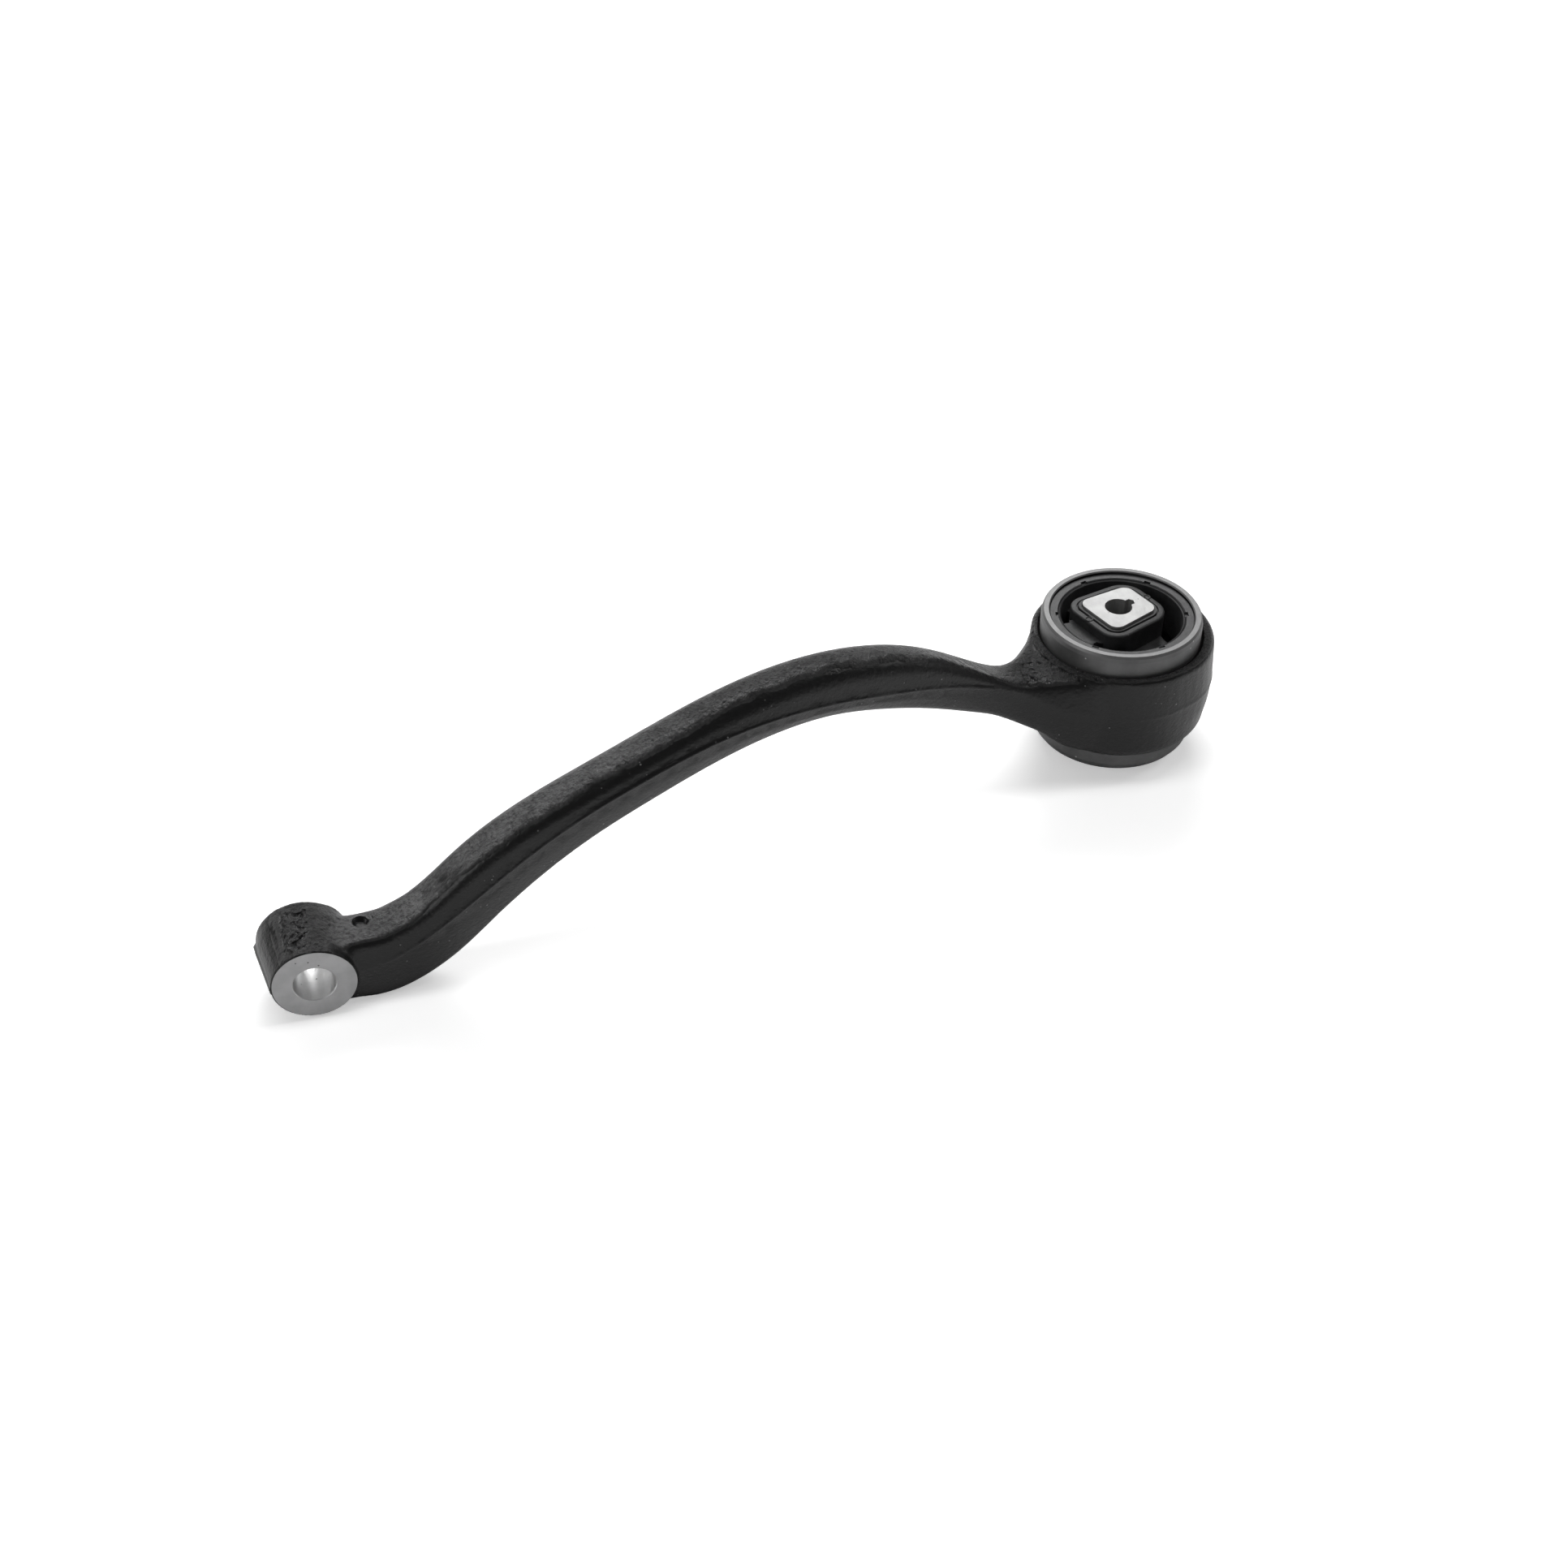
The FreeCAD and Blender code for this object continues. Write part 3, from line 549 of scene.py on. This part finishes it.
def cut_across(shape, place, ahead, keep_ahead):
    geometry = shape.verts[:] + shape.edges[:] + shape.faces[:]
    bmesh.ops.bisect_plane(shape, geom=geometry, plane_co=place, plane_no=ahead, dist=0.000001,
                           clear_inner=keep_ahead, clear_outer=not keep_ahead)
    open_edges = [e for e in shape.edges if e.is_boundary]
    bmesh.ops.holes_fill(shape, edges=open_edges, sides=0)
    return shape


def small_squares(shape, size):
    """Rebuilds a closed shape from even squares with a Remesh modifier, and returns it."""
    mesh = bpy.data.meshes.new("remesh_work")
    shape.to_mesh(mesh)
    shape.free()
    work = bpy.data.objects.new("remesh_work", mesh)
    scene.collection.objects.link(work)
    remesh = work.modifiers.new("squares", "REMESH")
    remesh.mode = "VOXEL"
    remesh.voxel_size = size
    evaluated = work.evaluated_get(bpy.context.evaluated_depsgraph_get())
    fresh = bmesh.new()
    fresh.from_mesh(evaluated.to_mesh())
    evaluated.to_mesh_clear()
    bpy.data.objects.remove(work)
    bpy.data.meshes.remove(mesh)
    print("squares:", len(fresh.faces))
    return fresh


def smooth(shape, points):
    bmesh.ops.smooth_vert(shape, verts=points, factor=0.5, use_axis_x=True, use_axis_y=True,
                          use_axis_z=True)


def smooth_by_share(shape, share_of, steps):
    """Each step is a limit and a count: points whose share is over the limit are smoothed."""
    shares = [(v, share_of(v.co)) for v in shape.verts]
    for limit, passes in steps:
        near = [v for v, share in shares if share > limit]
        for _ in range(passes):
            smooth(shape, near)


def fade(value, full, none):
    """A share that eases from 1 where the value is full to 0 where it is none."""
    share = min(1.0, max(0.0, (value - none) / (full - none)))
    return share * share * (3 - 2 * share)


def lumps_at(point, coarse, fine):
    return noise.noise(point * coarse) + 0.6 * noise.noise(point * fine)


# %% [markdown]
# The neck is smoothed most along the joint between arm and housing. The sleeve's bore isn't
# smoothed, so the sleeve still fits. A rough bead stands up just outside the sleeve on the arm's
# side, where the trimming tool left it, and the plateau beside it is uneven.

# %% Soften the neck
BORE_EDGE = 41.6 * MM
BEAD_RADIUS = 45.0 * MM
BEAD_WIDTH = 1.1 * MM
RIDGE_HEIGHT = 2.0
SWELL = 1.1 * MM
NECK_SQUARE = 0.8 * MM


def bush_place(point):
    """Where a point is seen from the sleeve's axis along the heading, and how far out it is."""
    local = TURN.inverted() @ (point - SLEEVE)
    return local, math.hypot(local.x, local.y)


def neck_share(point):
    local, out = bush_place(point)
    share = fade(local.x, -36 * MM, -26 * MM) * fade(local.x, -66 * MM, -80 * MM)
    return share * fade(out, 43.0 * MM, BORE_EDGE)


def rough_neck(shape):
    for point in shape.verts:
        local, out = bush_place(point.co)
        side = abs(math.atan2(local.y, -local.x))
        if local.z < 14 * MM or out < BORE_EDGE:
            continue
        bead = math.exp(-((out - BEAD_RADIUS) / BEAD_WIDTH) ** 2) * fade(side, 0.75, 1.25)
        lumps = lumps_at(point.co, 300, 700)
        flank = fade(local.x, -52 * MM, -44 * MM) * fade(local.x, -62 * MM, -72 * MM)
        flank *= fade(abs(local.y), 7 * MM, 14 * MM)
        ridge = max(0.0, noise.noise(Vector((local.x * 260, local.y * 90, 4.0))))
        bead_height = bead * (1.0 + 0.8 * lumps)
        plateau_height = flank * (0.6 * lumps + RIDGE_HEIGHT * ridge)
        point.co.z += (bead_height + plateau_height) * MM


def swell_housing(shape):
    """Above its foot, the housing's far side is a little fuller than a plain barrel."""
    for point in shape.verts:
        local, out = bush_place(point.co)
        full = fade(local.x, 22 * MM, 2 * MM) * fade(out, 43.5 * MM, 41.5 * MM)
        full *= fade(local.z, -6 * MM, -20 * MM) * SWELL / out
        point.co += TURN @ Vector((local.x * full, local.y * full, 0))


neck_piece = cut_across(forging_copy(), NECK_CUT - ALONG * SPARE, ALONG, True)
neck_piece = small_squares(neck_piece, NECK_SQUARE)
smooth(neck_piece, [v for v in neck_piece.verts if bush_place(v.co)[1] > 41.3 * MM])
smooth_by_share(neck_piece, neck_share, ((0.15, 8), (0.45, 10), (0.8, 12)))
rough_neck(neck_piece)
swell_housing(neck_piece)
neck_piece = cut_across(neck_piece, NECK_CUT, ALONG, True)
print("neck points:", len(neck_piece.verts))

# %% [markdown]
# The eye is a short barrel lying on its side. The arm's end is smoothed into it, its trimmed
# edge is worn down at the back, and a patch on its top keeps a rough scab of scale. A punch
# mark on the arm beside it is pressed in after the smoothing, which would take it away.

# %% Soften the eye
EYE_SQUARE = 0.6 * MM
SCAB_HEIGHT = 1.3
PUNCH_X = -387.3 * MM
PUNCH_Y = -85.5 * MM
PUNCH_DEPTH = 1.9
PUNCH_RIM = 0.35


def eye_place(point):
    """How far a point is from the eye's axis, and how far behind its front face."""
    return math.hypot(point.x - EYE.x, point.z - EYE.z), point.y - EYE.y


def eye_share(point):
    out, behind = eye_place(point)
    joint = fade(point.x, -402 * MM, -408 * MM) * fade(out, 18.0 * MM, 16.5 * MM)
    joint *= fade(out, 25.0 * MM, 34.0 * MM)
    return joint * fade(behind, 2.5 * MM, 1.2 * MM) * fade(behind, 29.5 * MM, 31.2 * MM)


def back_share(point):
    out, behind = eye_place(point)
    return fade(behind, 28.5 * MM, 25.0 * MM) * fade(out, 20.2 * MM, 19.0 * MM)


def coat_share(point):
    out, behind = eye_place(point)
    return fade(out, 12.5 * MM, 11.5 * MM) * fade(behind, 1.2 * MM, 0.5 * MM)


def clear_bore(shape):
    """Makes room for the bare metal that lines the bore and covers the front face."""
    for point in shape.verts:
        out, behind = eye_place(point.co)
        if out < 10.8 * MM:
            wanted = (9.9 - 0.05 * behind / MM) * MM
            grow = wanted / out
            point.co.x = EYE.x + (point.co.x - EYE.x) * grow
            point.co.z = EYE.z + (point.co.z - EYE.z) * grow
        point.co.y = max(point.co.y, EYE.y)


def punch_mark(shape):
    """A small round dimple on top of the arm, beside the eye."""
    for point in shape.verts:
        away = math.hypot(point.co.x - PUNCH_X, point.co.y - PUNCH_Y) / MM
        if point.co.z > -12 * MM and away < 6:
            rim = PUNCH_RIM * math.exp(-((away - 4.0) / 0.8) ** 2)
            point.co.z += (rim - PUNCH_DEPTH * fade(away, 2.0, 3.6)) * MM


def rough_eye(shape):
    for point in shape.verts:
        out, behind = eye_place(point.co)
        if point.co.z < EYE.z + 14 * MM or out < 17 * MM:
            continue
        patch = fade(point.co.x, -419 * MM, -422 * MM) * fade(point.co.x, -412 * MM, -408.5 * MM)
        patch *= fade(behind, 5 * MM, 2 * MM) * fade(behind, 25 * MM, 29 * MM)
        lumps = 0.5 + lumps_at(point.co, 340, 800)
        point.co.z += SCAB_HEIGHT * patch * max(0.0, lumps) * MM


eye_piece = cut_across(forging_copy(), EYE_CUT + AHEAD * SPARE, AHEAD, False)
eye_piece = small_squares(eye_piece, EYE_SQUARE)
smooth_by_share(eye_piece, coat_share, ((0.5, 2),))
smooth_by_share(eye_piece, eye_share, ((0.15, 16), (0.45, 20), (0.8, 24)))
smooth_by_share(eye_piece, back_share, ((0.5, 14),))
rough_eye(eye_piece)
punch_mark(eye_piece)
clear_bore(eye_piece)
eye_piece = cut_across(eye_piece, EYE_CUT, AHEAD, False)
print("eye points:", len(eye_piece.verts))

# %% [markdown]
# ## Finish the forging's meshes
# The middle is the untouched model between the two cuts. All three meshes share one coat.

# %% Forging meshes
arm_piece = cut_across(forging_copy(), NECK_CUT, ALONG, False)
arm_piece = cut_across(arm_piece, EYE_CUT, AHEAD, True)
arm_mesh = finish_piece("forging_arm", arm_piece, COAT, sharp=30)
neck_mesh = finish_piece("forging_neck", neck_piece, COAT, sharp=60)
eye_mesh = finish_piece("forging_eye", eye_piece, COAT, sharp=60)
for mesh_piece in (arm_mesh, neck_mesh, eye_mesh):
    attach(mesh_piece, "arm")
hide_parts("arm_forging")

# %% [markdown]
# ## Bare metal at the eye
# The eye's front face, its tapered bore and the seat behind were cut after the coat was on. One
# closed outline of their thin bare skin is spun round the eye's axis.

# %% Bare metal


def make_bare_eye():
    outline = [(18.5, -0.08), (9.75, -0.08), (9.4, 0.3), (7.79, 32.05), (16.6, 32.05), (16.6, 31.3),
               (8.1, 31.3), (9.75, 0.8), (18.5, 0.5)]
    shape = closed_outline([mm(radius, behind, 0) for radius, behind in outline])
    spin_once(shape, (0, 1, 0), ROUND_STEPS)
    bmesh.ops.translate(shape, verts=shape.verts, vec=EYE)
    piece = finish_piece("machined_eye", shape, EYE_FACE, sharp=30)
    piece.data.materials.append(EYE_BORE)
    for face in piece.data.polygons:
        across = Vector((face.center.x - EYE.x, 0, face.center.z - EYE.z)).length
        if abs(face.normal.y) < 0.8 and across < 10.2 * MM:
            face.material_index = 1
    return piece


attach(make_bare_eye(), "arm")

# %% [markdown]
# ## Painting the other engineering nodes
# The sleeve, cage, core and the hidden mouldings are shown as they are, each with its finish.
# The forging and the rubber aren't painted here, as finer meshes take their place.

# %% Paint the bushing's nodes
NODE_FINISHES = {
    "outer_sleeve": SLEEVE_STEEL, "window_cage": CAGE_BLACK, "core": CORE_METAL,
    "channel_shell_inboard": HIDDEN_BLACK, "channel_shell_outboard": HIDDEN_BLACK,
    "travel_stop": HIDDEN_BLACK}
for node, material in NODE_FINISHES.items():
    mesh = NODES[node].data
    mesh.materials.clear()
    mesh.materials.append(material)
print("painted", len(NODE_FINISHES), "of", len(NODES), "nodes")

# %% [markdown]
# ## The rubber collar round the core
# The rubber is moulded round the core, and a thick collar of it shows at both ends. Its top has a
# lip against the metal with a fine groove outside it. A face with rounded corners is pulled up
# into a block, then set in and pushed up or down once for each step of the lip. The last faces
# are joined by a wall, which leaves the middle open for the core. Two small rings, where
# moulding pins stood, are half sunk in the collar's top.

# %% Collar
COLLAR_GROW = 5.6
COLLAR_TOP = 37.4


def rounded_outline(shape, grow, height):
    """The core's four-sided outline, grown outwards, as one face with rounded corners."""
    near, far = 13.9 + grow, 15.3 + grow
    near_half, far_half = 14.5 + grow, 11.6 + grow
    places = [(-near, -near_half), (far, -far_half), (far, far_half), (-near, near_half)]
    corners = [shape.verts.new(mm(x, y, height)) for x, y in places]
    shape.faces.new(corners)
    bmesh.ops.bevel(shape, geom=corners, offset=(5.0 + grow) * MM, offset_type="OFFSET", segments=10,
                    profile=0.5, affect="VERTICES", material=-1)


def make_collar():
    shape = bmesh.new()
    rounded_outline(shape, COLLAR_GROW, -COLLAR_TOP)
    base = shape.faces[:]
    raised = bmesh.ops.extrude_face_region(shape, geom=base)
    moved = [g for g in raised["geom"] if isinstance(g, bmesh.types.BMVert)]
    bmesh.ops.translate(shape, verts=moved, vec=mm(0, 0, 2 * COLLAR_TOP))
    ends = [f for f in shape.faces if len(f.verts) > 4]
    rims = [e for f in ends for e in f.edges]
    bmesh.ops.bevel(shape, geom=rims, offset=1.0 * MM, offset_type="OFFSET", segments=4,
                    profile=0.5, affect="EDGES", material=-1)
    for end in [f for f in shape.faces if len(f.verts) > 12]:
        for width, depth in ((1.9, 0.0), (0.3, -0.8), (0.35, 0.0), (0.3, 1.2), (1.5, 0.0)):
            bmesh.ops.inset_region(shape, faces=[end], thickness=width * MM, depth=depth * MM,
                                   use_even_offset=True)
    ends = [f for f in shape.faces if len(f.verts) > 12]
    inner = [e for f in ends for e in f.edges]
    bmesh.ops.delete(shape, geom=ends, context="FACES_ONLY")
    bmesh.ops.bridge_loops(shape, edges=inner)
    bmesh.ops.transform(shape, matrix=TURN, verts=shape.verts)
    return finish_piece("rubber_collar", shape, RUBBER)


def make_moulding_ring(name, x, y):
    """A small ring where a moulding pin stood, half sunk in the collar's top."""
    shape = bmesh.new()
    circle = bmesh.ops.create_circle(shape, radius=0.42 * MM, segments=12)["verts"]
    bmesh.ops.rotate(shape, verts=circle, cent=(0, 0, 0), matrix=Matrix.Rotation(math.pi / 2, 3, "X"))
    bmesh.ops.translate(shape, verts=circle, vec=mm(1.7, 0, 0))
    spin_once(shape, (0, 0, 1), 36)
    bmesh.ops.translate(shape, verts=shape.verts, vec=mm(x, y, COLLAR_TOP - 0.1))
    bmesh.ops.transform(shape, matrix=TURN, verts=shape.verts)
    return finish_piece(name, shape, RUBBER)


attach(make_moulding_ring("moulding_ring_near", -17.4, 1.5), "core")
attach(make_moulding_ring("moulding_ring_far", 18.6, 0.0), "core")
collar = make_collar()
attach(collar, "core")
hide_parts("rubber_spring")

# %% [markdown]
# ## The rubber skirts
# Inside each end ring of the cage the rubber runs towards the middle as a thin wall. A closed
# outline of its thickness is spun once round the sleeve's axis.

# %% Skirts


def make_skirt(name, up):
    outline = [(31.35, 32.6), (30.9, 32.9), (30.3, 32.5), (29.6, 29.5), (29.2, 24.0), (29.0, 13.0),
               (30.2, 13.0), (31.3, 24.0), (31.35, 29.0)]
    shape = closed_outline([mm(radius, 0, up * height) for radius, height in outline])
    spin_once(shape, (0, 0, 1), ROUND_STEPS)
    bmesh.ops.translate(shape, verts=shape.verts, vec=SLEEVE)
    return finish_piece(name, shape, RUBBER)


for skirt_name, side in (("rubber_skirt_top", 1), ("rubber_skirt_bottom", -1)):
    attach(make_skirt(skirt_name, side), "arm")

# %% [markdown]
# ## The rubber legs and blocks
# Two thick legs carry the core from the cage, and two flatter blocks limit how far it moves
# towards the arm. All of them are bonded at both ends, so in the real part they shear when the
# core turns. Each is cut into slices from ring to collar.

# %% Legs and blocks
SLICE_CUTS = 7
WAIST = 0.16


def make_web(name, angle, start, end, half_out, half_in, low, out_top, in_top):
    """A rubber web from ring (start) to collar (end), turned by angle from the heading."""
    shape = bmesh.new()
    bmesh.ops.create_cube(shape, size=1.0)
    bmesh.ops.subdivide_edges(shape, edges=shape.edges, cuts=SLICE_CUTS, use_grid_fill=True)
    for point in shape.verts:
        out = point.co.x + 0.5
        half = half_in + (half_out - half_in) * out
        half *= 1 - WAIST * math.sin(math.pi * out)
        top = in_top + (out_top - in_top) * out
        height = low + (top - low) * (point.co.z + 0.5)
        point.co = mm(start * out + end * (1 - out), 2 * half * point.co.y, height)
    rims = [e for e in shape.edges if len(e.link_faces) == 2 and e.calc_face_angle() > 1.0]
    bmesh.ops.bevel(shape, geom=rims, offset=0.8 * MM, offset_type="OFFSET", segments=2,
                    profile=0.5, affect="EDGES", material=-1)
    pointed = Matrix.Rotation(math.radians(angle), 4, "Z")
    bmesh.ops.transform(shape, matrix=pointed, verts=shape.verts)
    bmesh.ops.translate(shape, verts=shape.verts, vec=mm(OFF_CENTRE, 0, 0))
    bmesh.ops.transform(shape, matrix=TURN, verts=shape.verts)
    piece = finish_piece(name, shape, RUBBER)
    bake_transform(piece)


make_web("rubber_leg_near", -90, 31.6, 15.5, 15.0, 12.0, -24.0, 24.0, 26.0)
make_web("rubber_leg_far", 90, 31.6, 15.5, 15.0, 12.0, -24.0, 24.0, 26.0)
make_web("rubber_block_inboard", 180, 30.6, 19.5, 12.5, 13.5, 14.0, 32.6, 32.0)
make_web("rubber_block_inboard_low", 180, 30.6, 19.5, 12.5, 13.5, -14.0, -32.6, -32.0)
